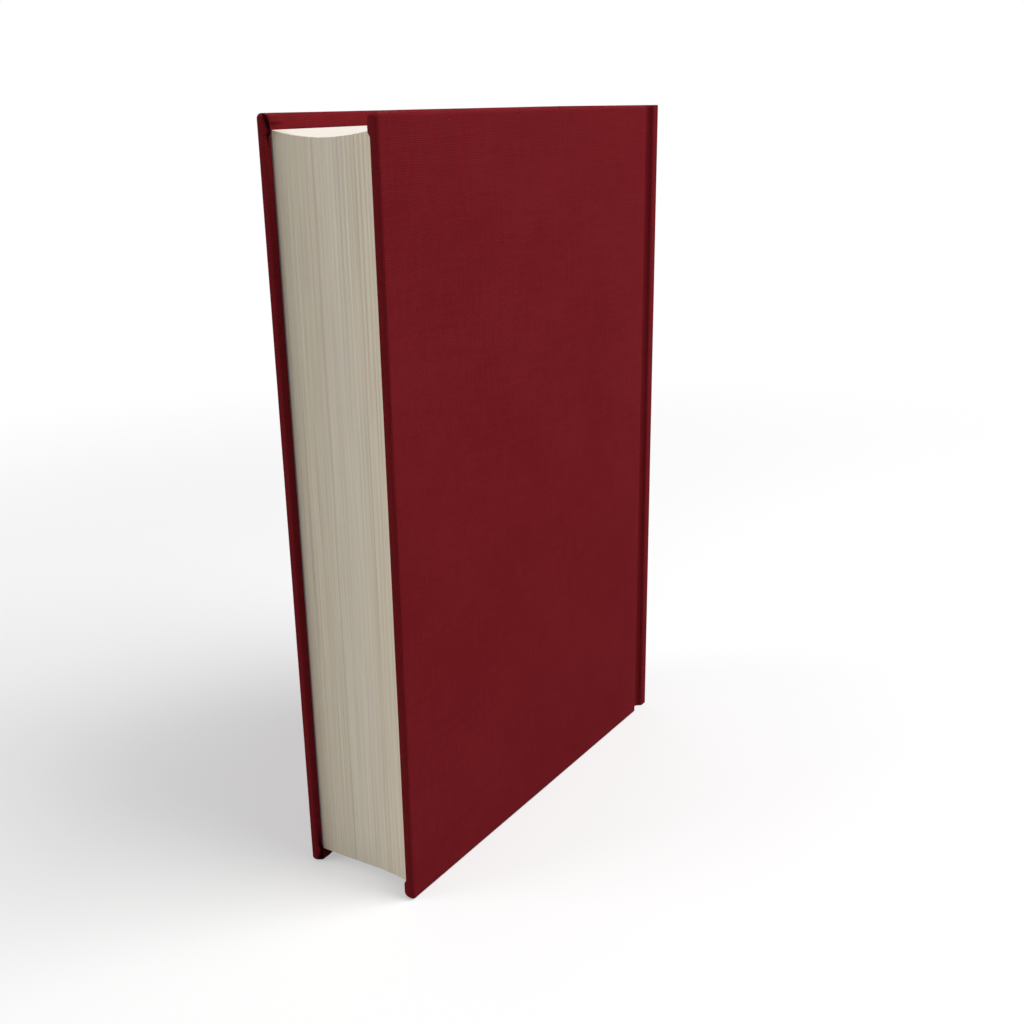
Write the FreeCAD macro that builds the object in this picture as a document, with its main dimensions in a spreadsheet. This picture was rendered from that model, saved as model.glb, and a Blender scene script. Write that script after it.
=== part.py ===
import FreeCAD, Part
import math
import os

import Sketcher

# Cloth-covered hardback book, standing upright on the tail edges of its boards.
# Millimetres. +Z is up, towards the head. X runs through the thickness: the front cover is
# on -X and the back cover on +X. The fore-edge faces -Y and the spine faces +Y.
# The origin is at the bottom centre of the closed book.

doc = FreeCAD.newDocument("hardback_book")

# Driving dimensions
DIMENSIONS = [
    ("page_height", 231.0, "leaf, head to tail"),
    ("page_width", 157.0, "leaf, spine to fore-edge"),
    ("text_thickness", 35.8, "all the leaves, pressed"),
    ("head_square", 3.8, "boards beyond the leaves at the head"),
    ("tail_square", 5.2, "boards beyond the leaves at the tail"),
    ("fore_square", 2.3, "boards beyond the leaves at the fore-edge"),
    ("fore_hollow", 3.0, "depth of the hollow fore-edge"),
    ("leaf_sag", 2.7, "drop of the middle leaves at the fore-edge"),
    ("spine_round", 3.6, "rise of the rounded back between its shoulders"),
    ("shoulder_reach", 2.3, "how far the back flares out to each shoulder"),
    ("shoulder_radius", 4.0, "bend of the outer leaves into the shoulder"),
    ("shoulder_land", 0.6, "blunt edge of the shoulder"),
    ("board_thickness", 2.5, "greyboard"),
    ("cloth_thickness", 0.35, "book cloth"),
    ("paper_thickness", 0.2, "endpaper"),
    ("mull_thickness", 0.3, "gauze"),
    ("lining_thickness", 0.3, "paper lining of the back"),
    ("glue_line", 0.08, "glue between the layers on the back"),
    ("hollow_gap", 0.3, "air in the hollow back"),
    ("inlay_thickness", 0.8, "card of the spine"),
    ("inlay_margin", 0.4, "inlay short of each shoulder"),
    ("groove_flat", 3.0, "bottom of the joint groove, board to shoulder bend"),
    ("hinge_slit", 0.3, "clearance where a cover parts from the back"),
    ("closing_gap", 0.1, "air between the flyleaf and the closed cover"),
    ("turn_in", 15.0, "cloth turned over onto the inside"),
    ("mull_flange", 25.0, "gauze on the board, from its spine edge"),
    ("mull_margin", 20.0, "gauze short of the head and tail of the leaves"),
    ("lining_margin", 1.5, "lining short of each shoulder"),
    ("band_drop", 8.0, "head band's tape down the back of the leaves"),
    ("band_tape", 0.4, "head band's tape"),
    ("band_bead", 0.9, "radius of the head band's bead"),
    ("band_seat", 0.05, "clearance of the bead over the leaves"),
    ("corner_radius", 1.6, "corners of the greyboard"),
    ("board_softening", 0.45, "worn edges of the greyboard"),
    ("shoulder_softening", 1.2, "bend of the cloth over the shoulder"),
]
sizes = doc.addObject("Spreadsheet::Sheet", "sizes")
for row, (name, size, note) in enumerate(DIMENSIONS, start=1):
    sizes.set(f"A{row}", name)
    sizes.set(f"B{row}", str(size))
    sizes.set(f"C{row}", note)
    sizes.setAlias(f"B{row}", name)
doc.recompute()

# Layers outwards from the middle of the leaves, each the face that its name gives
LEAVES = "(sizes.text_thickness / 2)"
FLYLEAF = f"({LEAVES} + sizes.paper_thickness)"
PASTEDOWN = f"({FLYLEAF} + sizes.closing_gap)"
TURN_IN = f"({PASTEDOWN} + sizes.paper_thickness)"
BOARD_INSIDE = f"({TURN_IN} + sizes.cloth_thickness)"
BOARD_OUTSIDE = f"({BOARD_INSIDE} + sizes.board_thickness)"
GROOVE = f"({BOARD_INSIDE} + sizes.cloth_thickness)"
COVER = f"({BOARD_OUTSIDE} + sizes.cloth_thickness)"

# Layers over the back of the leaves, as heights above it
OVER_GLUE = "sizes.glue_line"
OVER_MULL = f"({OVER_GLUE} + sizes.mull_thickness)"
UNDER_LINING = f"({OVER_MULL} + sizes.glue_line)"
OVER_LINING = f"({UNDER_LINING} + sizes.lining_thickness)"
OVER_HOLLOW = f"({OVER_LINING} + sizes.hollow_gap)"
OVER_TURN_IN = f"({OVER_HOLLOW} + sizes.cloth_thickness)"
OVER_INLAY = f"({OVER_TURN_IN} + sizes.inlay_thickness)"
OVER_CLOTH = f"({OVER_INLAY} + sizes.cloth_thickness)"

# Depth stations, fore-edge to spine
DEPTH = f"(sizes.fore_square + sizes.fore_hollow + sizes.page_width + {OVER_CLOTH})"
FORE_EDGE = f"(-{DEPTH} / 2)"
LEAF_EDGE = f"({FORE_EDGE} + sizes.fore_square)"
CROWN = f"({LEAF_EDGE} + sizes.fore_hollow + sizes.page_width)"
SHOULDER = f"({CROWN} - sizes.spine_round - sizes.shoulder_land)"
SHOULDER_X = f"({LEAVES} + sizes.shoulder_reach)"
BEND_X = f"({LEAVES} + sizes.shoulder_radius)"
BEND_OFFSET = "(sizes.shoulder_radius - sizes.shoulder_reach)"
BEND_Y = f"({SHOULDER} - sqrt(sizes.shoulder_radius ^ 2 - {BEND_OFFSET} ^ 2))"
BOARD_EDGE = f"({BEND_Y} - sizes.groove_flat)"
COVER_END = f"({BEND_Y} - sizes.hinge_slit)"
BACK_RADIUS = f"(({SHOULDER_X} ^ 2 + sizes.spine_round ^ 2) / (2 * sizes.spine_round))"
BACK_CENTRE = f"({CROWN} - {BACK_RADIUS})"
FORE_RADIUS = f"(({LEAVES} ^ 2 + sizes.fore_hollow ^ 2) / (2 * sizes.fore_hollow))"
FORE_CENTRE = f"({LEAF_EDGE} + sizes.fore_hollow - {FORE_RADIUS})"

# Heights
TAIL = "sizes.tail_square"
HEAD = f"({TAIL} + sizes.page_height)"
CASE_HEIGHT = f"({HEAD} + sizes.head_square)"
MULL_TAIL = f"({TAIL} + sizes.mull_margin)"
MULL_HEAD = f"({HEAD} - sizes.mull_margin)"


ACROSS = FreeCAD.Vector(1, 0, 0)
UP = FreeCAD.Vector(0, 0, 1)
SAME_LENGTH = 1e-3


def number(expression):
    """The expression's value in millimetres."""
    return float(sizes.evalExpression(expression))


def near(value, target):
    return abs(value - target) < SAME_LENGTH


def bind(feature, **expressions):
    """Ties the feature's properties to expressions of the sizes; a double underscore is a dot."""
    for prop, expression in expressions.items():
        feature.setExpression(prop.replace("__", "."), expression)
    return feature


def new_body(name):
    body = doc.addObject("PartDesign::Body", name)
    body.Label = name
    return body


def new_sketch(body, name, plane, offset="0"):
    """A sketch on one of the body's own origin planes, moved along that plane's normal."""
    sketch = body.newObject("Sketcher::SketchObject", name)
    support = next(f for f in body.Origin.OriginFeatures if f.Role == plane)
    sketch.AttachmentSupport = (support, [""])
    sketch.MapMode = "FlatFace"
    return bind(sketch, AttachmentOffset__Base__z=offset)


class Outline:
    """A closed outline, drawn edge after edge in a sketch and dimensioned from its origin."""

    def __init__(self, sketch):
        self.sketch = sketch
        self.edges = []

    def add(self, shape, first, last):
        index = self.sketch.addGeometry(shape, False)
        self.edges.append((index, first, last))
        return index

    def line(self, x1, y1, x2, y2):
        """A straight edge between two points, each given by its expressions."""
        ends = [FreeCAD.Vector(number(x), number(y), 0) for x, y in ((x1, y1), (x2, y2))]
        return self.add(Part.LineSegment(*ends), 1, 2)

    def arc(self, centre, radius, start, end):
        """An arc from one angle to another, about a centre and with a radius given by expressions."""
        middle = FreeCAD.Vector(number(centre[0]), number(centre[1]), 0)
        circle = Part.Circle(middle, FreeCAD.Vector(0, 0, 1), number(radius))
        turns_left = end > start
        low, high = (start, end) if turns_left else (end, start)
        index = self.add(Part.ArcOfCircle(circle, low, high), *((1, 2) if turns_left else (2, 1)))
        self.place(index, 3, *centre)
        self.dimension("Radius", (index,), radius)
        return index

    def dimension(self, kind, points, expression):
        index = self.sketch.addConstraint(Sketcher.Constraint(kind, *points, number(expression)))
        self.sketch.setExpression(f"Constraints[{index}]", expression)

    def place_x(self, index, point, expression):
        if near(number(expression), 0):
            self.sketch.addConstraint(Sketcher.Constraint("PointOnObject", index, point, -2))
        elif number(expression) > 0:
            self.dimension("DistanceX", (-1, 1, index, point), expression)
        else:
            self.dimension("DistanceX", (index, point, -1, 1), f"-({expression})")

    def place_y(self, index, point, expression):
        if near(number(expression), 0):
            self.sketch.addConstraint(Sketcher.Constraint("PointOnObject", index, point, -1))
        elif number(expression) > 0:
            self.dimension("DistanceY", (-1, 1, index, point), expression)
        else:
            self.dimension("DistanceY", (index, point, -1, 1), f"-({expression})")

    def place(self, index, point, x, y):
        self.place_x(index, point, x)
        self.place_y(index, point, y)

    def upright(self, index):
        self.sketch.addConstraint(Sketcher.Constraint("Vertical", index))

    def level(self, index):
        self.sketch.addConstraint(Sketcher.Constraint("Horizontal", index))

    def close(self):
        for edge, following in zip(self.edges, self.edges[1:] + self.edges[:1]):
            joined = Sketcher.Constraint("Coincident", edge[0], edge[2], following[0], following[1])
            self.sketch.addConstraint(joined)


def rectangle(sketch, x1, y1, x2, y2):
    """An upright rectangle between two corners."""
    outline = Outline(sketch)
    outline.level(outline.line(x1, y1, x2, y1))
    outline.upright(outline.line(x2, y1, x2, y2))
    outline.level(outline.line(x2, y2, x1, y2))
    outline.upright(outline.line(x1, y2, x1, y1))
    outline.close()
    outline.place(0, 1, x1, y1)
    outline.place(2, 1, x2, y2)
    return sketch


def pad(body, sketch, length):
    """Pads the sketch along its own normal."""
    feature = body.newObject("PartDesign::Pad", f"{sketch.Name}_pad")
    feature.Profile = sketch
    feature.Refine = True
    return bind(feature, Length=length)


def edges_along(feature, axis, test):
    """The names of the feature's straight edges along an axis whose first end passes the test."""
    doc.recompute()
    found = []
    for index, edge in enumerate(feature.Shape.Edges, start=1):
        if len(edge.Vertexes) != 2 or not isinstance(edge.Curve, Part.Line):
            continue
        if near(abs(edge.Curve.Direction.dot(axis)), 1) and test(edge.Vertexes[0].Point):
            found.append(f"Edge{index}")
    return found


def round_edges(body, feature, radius, axis, test):
    """Rounds the feature's straight edges along an axis that pass the test."""
    fillet = body.newObject("PartDesign::Fillet", f"{feature.Name}_rounded")
    fillet.Base = (feature, edges_along(feature, axis, test))
    return bind(fillet, Radius=radius)


def soften_faces(body, feature, radius, outside, inside):
    """Rounds the whole rim of a cover's two broad faces."""
    doc.recompute()
    rims = []
    for index, edge in enumerate(feature.Shape.Edges, start=1):
        spread = edge.BoundBox
        on_a_face = near(spread.XMin, number(outside)) or near(spread.XMin, number(inside))
        if near(spread.XLength, 0) and on_a_face:
            rims.append(f"Edge{index}")
    fillet = body.newObject("PartDesign::Fillet", f"{feature.Name}_softened")
    fillet.Base = (feature, rims)
    return bind(fillet, Radius=radius)


def box(name, x1, x2, y1, y2, z1, z2):
    """A block between two corners."""
    block = doc.addObject("Part::Box", name)
    bind(block, Length=f"{x2} - ({x1})", Width=f"{y2} - ({y1})", Height=f"{z2} - ({z1})")
    return bind(block, Placement__Base__x=x1, Placement__Base__y=y1, Placement__Base__z=z1)


def combine(kind, name, base, tool):
    """A Part::Cut, Part::Fuse or Part::Common of two shapes."""
    result = doc.addObject(kind, name)
    result.Base = base
    result.Tool = tool
    return result


# The back of the leaves and each layer over it share one outline: up the bend of one
# shoulder, over its blunt edge, along the rounded back and down the other shoulder.
# A layer lies `side` outside the leaves at the shoulders and `over` above their back.


class BackLayer:
    def __init__(self, side, over):
        self.bend_radius = f"(sizes.shoulder_radius - ({side}))"
        self.edge_x = f"({SHOULDER_X} + {side})"
        self.back_radius = f"({BACK_RADIUS} + {over})"
        reach = (number(BEND_X) - number(self.edge_x)) / number(self.bend_radius)
        self.bend_angle = math.acos(reach)
        self.back_angle = math.acos(number(self.edge_x) / number(self.back_radius))
        self.bend_top = f"({BEND_Y} + sqrt({self.bend_radius} ^ 2 - ({BEND_X} - {self.edge_x}) ^ 2))"
        self.back_end = f"({BACK_CENTRE} + sqrt({self.back_radius} ^ 2 - {self.edge_x} ^ 2))"

    def draw(self, outline, from_front=True):
        """Five edges from the front shoulder's bend to the back shoulder's, or the other way."""
        turn = self.bend_angle
        left = (f"-{BEND_X}", BEND_Y)
        right = (BEND_X, BEND_Y)
        middle = ("0", BACK_CENTRE)
        left_x = f"-{self.edge_x}"
        right_x = self.edge_x
        if from_front:
            outline.arc(left, self.bend_radius, 0, turn)
            edge = outline.line(left_x, self.bend_top, left_x, self.back_end)
            outline.arc(middle, self.back_radius, math.pi - self.back_angle, self.back_angle)
            far_edge = outline.line(right_x, self.back_end, right_x, self.bend_top)
            outline.arc(right, self.bend_radius, math.pi - turn, math.pi)
        else:
            outline.arc(right, self.bend_radius, math.pi, math.pi - turn)
            far_edge = outline.line(right_x, self.bend_top, right_x, self.back_end)
            outline.arc(middle, self.back_radius, self.back_angle, math.pi - self.back_angle)
            edge = outline.line(left_x, self.back_end, left_x, self.bend_top)
            outline.arc(left, self.bend_radius, turn, 0)
        outline.upright(edge)
        outline.upright(far_edge)
        outline.place_x(edge, 1, left_x)
        outline.place_x(far_edge, 1, right_x)


def back_band(sketch, inner, outer):
    """The section between two layers of the back, cut off square where the shoulders begin to bend."""
    outline = Outline(sketch)
    inner_end = f"({BEND_X} - {inner.bend_radius})"
    outer_end = f"({BEND_X} - {outer.bend_radius})"
    outer.draw(outline)
    right_end = outline.line(outer_end, BEND_Y, inner_end, BEND_Y)
    inner.draw(outline, from_front=False)
    left_end = outline.line(f"-{inner_end}", BEND_Y, f"-{outer_end}", BEND_Y)
    outline.close()
    for end in (left_end, right_end):
        outline.level(end)
        outline.place_y(end, 1, BEND_Y)
    return sketch


def back_ring(sketch, inner, outer, half_width):
    """A strip of the rounded back, between two heights above the leaves and no wider than given."""
    outline = Outline(sketch)
    radii = (f"({BACK_RADIUS} + {inner})", f"({BACK_RADIUS} + {outer})")
    angles = [math.acos(number(half_width) / number(radius)) for radius in radii]
    stations = [f"({BACK_CENTRE} + sqrt({radius} ^ 2 - ({half_width}) ^ 2))" for radius in radii]
    middle = ("0", BACK_CENTRE)
    outline.arc(middle, radii[1], angles[1], math.pi - angles[1])
    left = outline.line(f"-({half_width})", stations[1], f"-({half_width})", stations[0])
    outline.arc(middle, radii[0], math.pi - angles[0], angles[0])
    right = outline.line(half_width, stations[0], half_width, stations[1])
    outline.close()
    for side, place in ((left, f"-({half_width})"), (right, half_width)):
        outline.upright(side)
        outline.place_x(side, 1, place)
    return sketch


BARE_BACK = BackLayer("0", "0")
ENDPAPER_SIDE = f"({TURN_IN} - {LEAVES})"
CLOTH_SIDE = f"({BOARD_INSIDE} - {LEAVES})"
GROOVE_SIDE = f"({GROOVE} - {LEAVES})"


def make_leaves_sag():
    """The height of the leaves along their width: level at the back, sagging at the fore-edge."""
    body = new_body("leaves_sag")
    half_width = f"({SHOULDER_X} + {ENDPAPER_SIDE})"
    back = rectangle(
        new_sketch(body, "sag_back", "XZ_Plane", f"-{CROWN}"), f"-{half_width}", TAIL, half_width, HEAD
    )
    front = new_sketch(body, "sag_front", "XZ_Plane", f"-{LEAF_EDGE}")
    outline = Outline(front)
    radius = f"(({half_width} ^ 2 + sizes.leaf_sag ^ 2) / (2 * sizes.leaf_sag))"
    half_angle = math.asin(number(half_width) / number(radius))
    down = -math.pi / 2
    tail_centre = ("0", f"({TAIL} - sizes.leaf_sag + {radius})")
    head_centre = ("0", f"({HEAD} - sizes.leaf_sag + {radius})")
    outline.arc(tail_centre, radius, down - half_angle, down + half_angle)
    right = outline.line(half_width, TAIL, half_width, HEAD)
    outline.arc(head_centre, radius, down + half_angle, down - half_angle)
    left = outline.line(f"-{half_width}", HEAD, f"-{half_width}", TAIL)
    outline.close()
    for side, place in ((right, half_width), (left, f"-{half_width}")):
        outline.upright(side)
        outline.place_x(side, 1, place)
    loft = body.newObject("PartDesign::AdditiveLoft", "sag_loft")
    loft.Profile = back
    loft.Sections = [front]
    loft.Ruled = True
    return body


def make_text_block(leaves_sag):
    """The leaves: hollow fore-edge, flat sides, flared shoulders and a rounded back."""
    body = new_body("text_block_plan")
    outline = Outline(new_sketch(body, "text_block_section", "XY_Plane"))
    BARE_BACK.draw(outline)
    right = outline.line(LEAVES, BEND_Y, LEAVES, LEAF_EDGE)
    half_angle = math.asin(number(LEAVES) / number(FORE_RADIUS))
    up = math.pi / 2
    outline.arc(("0", FORE_CENTRE), FORE_RADIUS, up - half_angle, up + half_angle)
    left = outline.line(f"-{LEAVES}", LEAF_EDGE, f"-{LEAVES}", BEND_Y)
    outline.close()
    outline.upright(right)
    outline.upright(left)
    outline.place_y(right, 1, BEND_Y)
    outline.place_y(left, 2, BEND_Y)
    pad(body, outline.sketch, CASE_HEIGHT)
    return combine("Part::Common", "text_block", body, leaves_sag)


def make_flyleaf(leaves_sag):
    """The free endpaper on the first leaf, folded over the shoulder and back into the joint."""
    body = new_body("front_flyleaf_plan")
    outline = Outline(new_sketch(body, "flyleaf_section", "XY_Plane"))
    folded = BackLayer(ENDPAPER_SIDE, "0")
    inner_x = f"-{BARE_BACK.edge_x}"
    outer_x = f"-{folded.edge_x}"
    bend = (f"-{BEND_X}", BEND_Y)
    outline.upright(outline.line(f"-{LEAVES}", LEAF_EDGE, f"-{LEAVES}", BEND_Y))
    outline.arc(bend, BARE_BACK.bend_radius, 0, BARE_BACK.bend_angle)
    inner_edge = outline.line(inner_x, BARE_BACK.bend_top, inner_x, BARE_BACK.back_end)
    outline.arc(
        ("0", BACK_CENTRE), BACK_RADIUS, math.pi - BARE_BACK.back_angle, math.pi - folded.back_angle
    )
    outer_edge = outline.line(outer_x, folded.back_end, outer_x, folded.bend_top)
    outline.arc(bend, folded.bend_radius, folded.bend_angle, 0)
    step = outline.line(f"-{TURN_IN}", BEND_Y, f"-{FLYLEAF}", BEND_Y)
    outline.upright(outline.line(f"-{FLYLEAF}", BEND_Y, f"-{FLYLEAF}", LEAF_EDGE))
    end = outline.line(f"-{FLYLEAF}", LEAF_EDGE, f"-{LEAVES}", LEAF_EDGE)
    outline.close()
    for edge, place in ((inner_edge, inner_x), (outer_edge, outer_x)):
        outline.upright(edge)
        outline.place_x(edge, 1, place)
    outline.level(step)
    outline.level(end)
    outline.place_y(0, 2, BEND_Y)
    outline.place_y(step, 1, BEND_Y)
    outline.place(end, 1, f"-{FLYLEAF}", LEAF_EDGE)
    pad(body, outline.sketch, CASE_HEIGHT)
    return combine("Part::Common", "front_flyleaf", body, leaves_sag)


def make_spine_mull():
    """Gauze glued over the back and round both shoulders, short of the head and tail."""
    body = new_body("spine_mull")
    inner = BackLayer(f"({CLOTH_SIDE} - sizes.mull_thickness)", OVER_GLUE)
    outer = BackLayer(CLOTH_SIDE, OVER_MULL)
    section = back_band(new_sketch(body, "mull_section", "XY_Plane", MULL_TAIL), inner, outer)
    pad(body, section, f"{MULL_HEAD} - {MULL_TAIL}")
    return body


def make_spine_lining():
    """Strong paper glued over the gauze, between the shoulders."""
    body = new_body("spine_lining")
    sketch = new_sketch(body, "lining_section", "XY_Plane", MULL_TAIL)
    back_ring(sketch, UNDER_LINING, OVER_LINING, f"({SHOULDER_X} - sizes.lining_margin)")
    pad(body, sketch, f"{MULL_HEAD} - {MULL_TAIL}")
    return body


def make_spine_inlay():
    """The card strip that stiffens the spine of the case, over the hollow."""
    body = new_body("spine_inlay")
    sketch = new_sketch(body, "inlay_section", "XY_Plane", "sizes.cloth_thickness")
    back_ring(sketch, OVER_TURN_IN, OVER_INLAY, f"({SHOULDER_X} - sizes.inlay_margin)")
    pad(body, sketch, f"{CASE_HEIGHT} - 2 * sizes.cloth_thickness")
    return body


def make_spine_cloth():
    """Cloth over the inlay and both shoulders, turned in over the inlay at the head and tail."""
    body = new_body("spine_cloth")
    outside = BackLayer(GROOVE_SIDE, OVER_CLOTH)
    inside = BackLayer(CLOTH_SIDE, OVER_INLAY)
    lining_face = BackLayer(CLOTH_SIDE, OVER_TURN_IN)
    turned = BackLayer(ENDPAPER_SIDE, OVER_HOLLOW)
    sheet = back_band(new_sketch(body, "spine_sheet", "XY_Plane"), inside, outside)
    sheet_pad = pad(body, sheet, CASE_HEIGHT)
    outer_corner = (number(outside.edge_x), number(outside.back_end))
    inner_corner = (number(inside.edge_x), number(inside.back_end))
    outer_round = round_edges(
        body,
        sheet_pad,
        "sizes.shoulder_softening",
        UP,
        lambda p: near(abs(p.x), outer_corner[0]) and near(p.y, outer_corner[1]),
    )
    round_edges(
        body,
        outer_round,
        "sizes.shoulder_softening - sizes.cloth_thickness",
        UP,
        lambda p: near(abs(p.x), inner_corner[0]) and near(p.y, inner_corner[1]),
    )
    for end, base, rim in (
        ("tail", "0", "0"),
        ("head", f"({CASE_HEIGHT} - sizes.turn_in)", f"({CASE_HEIGHT} - sizes.cloth_thickness)"),
    ):
        flap = new_sketch(body, f"spine_{end}_turn_in", "XY_Plane", base)
        pad(body, back_band(flap, turned, lining_face), "sizes.turn_in")
        edge = new_sketch(body, f"spine_{end}_rim", "XY_Plane", rim)
        half_width = f"({SHOULDER_X} - sizes.inlay_margin)"
        pad(body, back_ring(edge, OVER_TURN_IN, OVER_INLAY, half_width), "sizes.cloth_thickness")
    return body


def make_band(end):
    """A head band: a tape glued to the back of the leaves, with a bead seated on their edge."""
    body = new_body(f"{end}_band")
    sketch = new_sketch(body, f"{end}_band_section", "YZ_Plane")
    outline = Outline(sketch)
    back = f"({CROWN} + {OVER_GLUE})"
    tape = f"({back} + sizes.band_tape)"
    bead = f"({tape} - sizes.band_bead)"
    # Heights run away from the leaves: up from the head, and down from the tail
    edge, sign = (HEAD, "+") if end == "head" else (TAIL, "-")
    foot = f"({edge} {'-' if sign == '+' else '+'} sizes.band_drop)"
    seat = f"({edge} {sign} sizes.band_seat)"
    middle = f"({seat} {sign} sizes.band_bead)"
    outline.level(outline.line(back, foot, tape, foot))
    outline.upright(outline.line(tape, foot, tape, middle))
    sweep = 1.5 * math.pi if end == "head" else -1.5 * math.pi
    bend = outline.arc((bead, middle), "sizes.band_bead", 0, sweep)
    first, last = outline.edges[bend][1:]
    outline.level(outline.line(bead, seat, back, seat))
    outline.upright(outline.line(back, seat, back, foot))
    outline.close()
    outline.place(0, 1, back, foot)
    sketch.addConstraint(Sketcher.Constraint("Horizontal", bend, 3, bend, first))
    sketch.addConstraint(Sketcher.Constraint("Vertical", bend, 3, bend, last))
    axis_ends = [FreeCAD.Vector(number(BACK_CENTRE), height, 0) for height in (0, number(TAIL))]
    axis = sketch.addGeometry(Part.LineSegment(*axis_ends), True)
    outline.upright(axis)
    outline.place(axis, 1, BACK_CENTRE, "0")
    outline.place_y(axis, 2, TAIL)
    turn = body.newObject("PartDesign::Revolution", f"{end}_band_bend")
    turn.Profile = sketch
    turn.ReferenceAxis = (sketch, ["Axis0"])
    turn.Midplane = True
    bind(turn, Angle=f"2 * asin(({SHOULDER_X} - sizes.lining_margin) / {BACK_RADIUS})")
    return body


def make_board():
    """Greyboard of the front cover, with its fore-edge corners and all its edges softened."""
    body = new_body("front_board")
    sketch = new_sketch(body, "board_section", "XY_Plane", "sizes.cloth_thickness")
    rectangle(
        sketch,
        f"-{BOARD_OUTSIDE}",
        f"{FORE_EDGE} + sizes.cloth_thickness",
        f"-{BOARD_INSIDE}",
        f"{BOARD_EDGE} - sizes.cloth_thickness",
    )
    slab = pad(body, sketch, f"{CASE_HEIGHT} - 2 * sizes.cloth_thickness")
    front = number(f"{FORE_EDGE} + sizes.cloth_thickness")
    heights = (number("sizes.cloth_thickness"), number(f"{CASE_HEIGHT} - sizes.cloth_thickness"))
    corners = round_edges(
        body,
        slab,
        "sizes.corner_radius",
        ACROSS,
        lambda p: near(p.y, front) and (near(p.z, heights[0]) or near(p.z, heights[1])),
    )
    soften_faces(body, corners, "sizes.board_softening", f"-{BOARD_OUTSIDE}", f"-{BOARD_INSIDE}")
    return body


def make_cover_cloth(board):
    """Cloth pasted round the front board and turned in on its inside, with the strip that
    runs on across the groove to the shoulder."""
    body = new_body("cloth_envelope")
    sketch = rectangle(
        new_sketch(body, "envelope_section", "XY_Plane"),
        f"-{COVER}",
        FORE_EDGE,
        f"-{TURN_IN}",
        BOARD_EDGE,
    )
    slab = pad(body, sketch, CASE_HEIGHT)
    front = number(FORE_EDGE)
    top = number(CASE_HEIGHT)
    corners = round_edges(
        body,
        slab,
        "sizes.corner_radius + sizes.cloth_thickness",
        ACROSS,
        lambda p: near(p.y, front) and (near(p.z, 0) or near(p.z, top)),
    )
    softening = "sizes.board_softening + sizes.cloth_thickness"
    soften_faces(body, corners, softening, f"-{COVER}", f"-{TURN_IN}")
    strip = box(
        "joint_strip",
        f"-{GROOVE}",
        f"-{TURN_IN}",
        f"{BOARD_EDGE} - sizes.board_softening - 2 * sizes.cloth_thickness",
        COVER_END,
        "0",
        CASE_HEIGHT,
    )
    window = box(
        "turn_in_window",
        f"-{BOARD_INSIDE}",
        f"-{TURN_IN}",
        f"{FORE_EDGE} + sizes.turn_in",
        COVER_END,
        "sizes.turn_in",
        f"{CASE_HEIGHT} - sizes.turn_in",
    )
    wrapped = combine("Part::Fuse", "cloth_wrapped", body, strip)
    around_board = combine("Part::Cut", "cloth_around_board", wrapped, board)
    return combine("Part::Cut", "front_cloth", around_board, window)


def make_mull_flange():
    """The gauze's flange, across the groove and onto the inside of the front board."""
    return box(
        "front_mull_flange",
        f"-{BOARD_INSIDE}",
        f"-({BOARD_INSIDE} - sizes.mull_thickness)",
        f"{BOARD_EDGE} - sizes.mull_flange",
        COVER_END,
        MULL_TAIL,
        MULL_HEAD,
    )


def make_pastedown(cloth, flange):
    """The pasted half of the front endpaper, lying over the turn-ins, the gauze and the board."""
    sheet = box("pastedown_blank", f"-{BOARD_INSIDE}", f"-{PASTEDOWN}", LEAF_EDGE, COVER_END, TAIL, HEAD)
    over_cloth = combine("Part::Cut", "pastedown_over_cloth", sheet, cloth)
    over_flange = combine("Part::Cut", "pastedown_over_flange", over_cloth, flange)
    dip_on_board = box(
        "dip_on_board",
        f"-({BOARD_INSIDE} - sizes.paper_thickness)",
        f"-{PASTEDOWN}",
        f"{FORE_EDGE} + sizes.turn_in + sizes.paper_thickness",
        f"{BOARD_EDGE} - sizes.mull_flange - sizes.paper_thickness",
        "sizes.turn_in + sizes.paper_thickness",
        f"{CASE_HEIGHT} - sizes.turn_in - sizes.paper_thickness",
    )
    dip_on_flange = box(
        "dip_on_flange",
        f"-({BOARD_INSIDE} - sizes.mull_thickness - sizes.paper_thickness)",
        f"-{PASTEDOWN}",
        f"{BOARD_EDGE} - sizes.mull_flange - sizes.paper_thickness",
        COVER_END,
        f"{MULL_TAIL} - sizes.paper_thickness",
        f"{MULL_HEAD} + sizes.paper_thickness",
    )
    dipped = combine("Part::Cut", "pastedown_on_board", over_flange, dip_on_board)
    return combine("Part::Cut", "front_pastedown", dipped, dip_on_flange)


def make_back(front):
    """The back cover's piece, the mirror image of the front cover's."""
    mirror = doc.addObject("Part::Mirroring", front.Label.replace("front", "back"))
    mirror.Source = front
    mirror.Normal = FreeCAD.Vector(1, 0, 0)
    return mirror


leaves_sag = make_leaves_sag()
front_board = make_board()
front_cloth = make_cover_cloth(front_board)
front_mull_flange = make_mull_flange()
fronts = [
    make_flyleaf(leaves_sag),
    front_board,
    front_cloth,
    front_mull_flange,
    make_pastedown(front_cloth, front_mull_flange),
]
nodes = [
    make_text_block(leaves_sag),
    make_spine_mull(),
    make_spine_lining(),
    make_spine_inlay(),
    make_spine_cloth(),
    make_band("head"),
    make_band("tail"),
    *fronts,
    *[make_back(front) for front in fronts],
]
doc.recompute()

for item in doc.Objects:
    if "Invalid" in item.State or "Error" in item.State:
        raise RuntimeError(f"{item.Label} failed: {item.State}")
for node in nodes:
    shape = node.Shape
    if shape.isNull() or not shape.isValid() or len(shape.Solids) != 1:
        raise RuntimeError(f"{node.Label} isn't one valid solid")

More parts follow.
